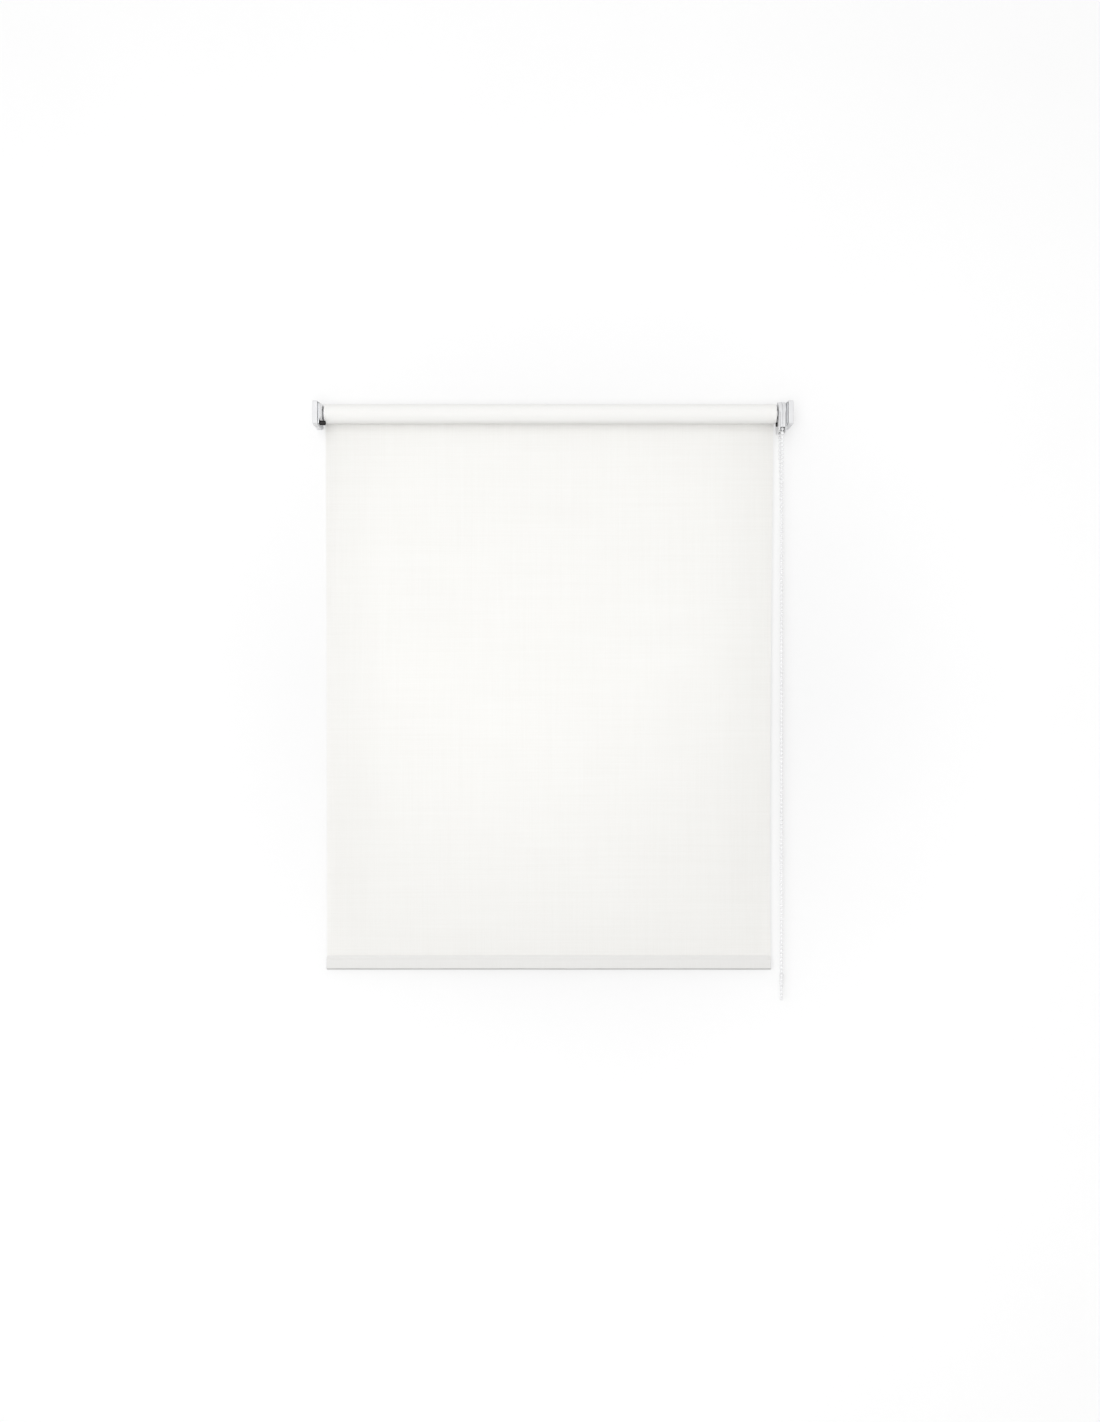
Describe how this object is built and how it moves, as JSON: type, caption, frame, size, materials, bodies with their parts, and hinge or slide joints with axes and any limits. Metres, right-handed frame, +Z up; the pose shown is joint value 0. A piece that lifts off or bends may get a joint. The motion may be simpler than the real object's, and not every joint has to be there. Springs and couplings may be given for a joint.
{
  "type": "roller blind",
  "caption": "Bead-chain roller blind with a translucent cloth, wall brackets with white covers, and a weighted hem; winding the roller raises the hem.",
  "frame": {"origin": "on the wall plane, midway between the bracket covers, at the height of the roller axis", "axes": "+X to the right as seen from the room, +Y out of the back of the blind into the wall, +Z up"},
  "size_m": [0.7, 0.049, 0.878],
  "materials": {
    "steel_plate": "satin",
    "cover_plastic": "satin",
    "screw_steel": "satin",
    "plug_plastic": "satin",
    "spring_steel": "satin",
    "tube_aluminium": "satin",
    "cloth": "matte",
    "bead_plastic": "satin"
  },
  "bodies": {
    "mounting": {"left_bracket": "steel_plate", "right_bracket": "steel_plate", "left_bracket_cover": "cover_plastic", "right_bracket_cover": "cover_plastic", "left_cover_screw": "screw_steel", "right_cover_screw": "screw_steel", "idle_socket": "cover_plastic", "clutch_post": "steel_plate", "clutch_core": "steel_plate", "post_clip": "spring_steel", "chain_guard_inner": "cover_plastic", "chain_guard_outer": "cover_plastic", "bead_chain": "bead_plastic", "fabric_panel": "cloth"},
    "roller": {"roller_tube": "tube_aluminium", "fabric_spline": "plug_plastic", "wound_fabric": "cloth", "idle_plug": "plug_plastic", "idle_plug_cap": "plug_plastic", "idle_spring": "spring_steel", "drive_plug": "plug_plastic", "wrap_spring_1": "spring_steel", "wrap_spring_2": "spring_steel", "chain_wheel": "plug_plastic", "wheel_beads": "bead_plastic"},
    "idle_pin": {"idle_pin": "plug_plastic"},
    "bottom_rail": {"hem_pocket": "cloth", "bottom_bar": "tube_aluminium", "bottom_bar_cap_left": "plug_plastic", "bottom_bar_cap_right": "plug_plastic"},
    "chain_connector": {"chain_connector": "bead_plastic"}
  },
  "joints": [
    {"name": "roller_spin", "type": "hinge", "parent": "mounting", "child": "roller", "pos_m": [0, -0.026, 0], "axis": [1, 0, 0], "range_deg": [0, 2880]},
    {"name": "idle_pin_slide", "type": "slide", "parent": "roller", "child": "idle_pin", "axis": [1, 0, 0], "range_m": [0, 0.006], "stiffness_N_per_m": 300, "springref_m": -0.004, "deforming": ["idle_spring"]},
    {"name": "bottom_rail_slide", "type": "slide", "parent": "mounting", "child": "bottom_rail", "axis": [0, 0, 1], "range_m": [0, 0.775], "deforming": ["fabric_panel"]},
    {"name": "chain_connector_slide", "type": "slide", "parent": "mounting", "child": "chain_connector", "axis": [0, 0, 1], "range_m": [0, 0.576]}
  ],
  "couplings": [
    {"joint": "bottom_rail_slide", "follows": "roller_spin", "m_per_rad": 0.015418},
    {"joint": "chain_connector_slide", "follows": "roller_spin", "m_per_rad": 0.011459}
  ]
}
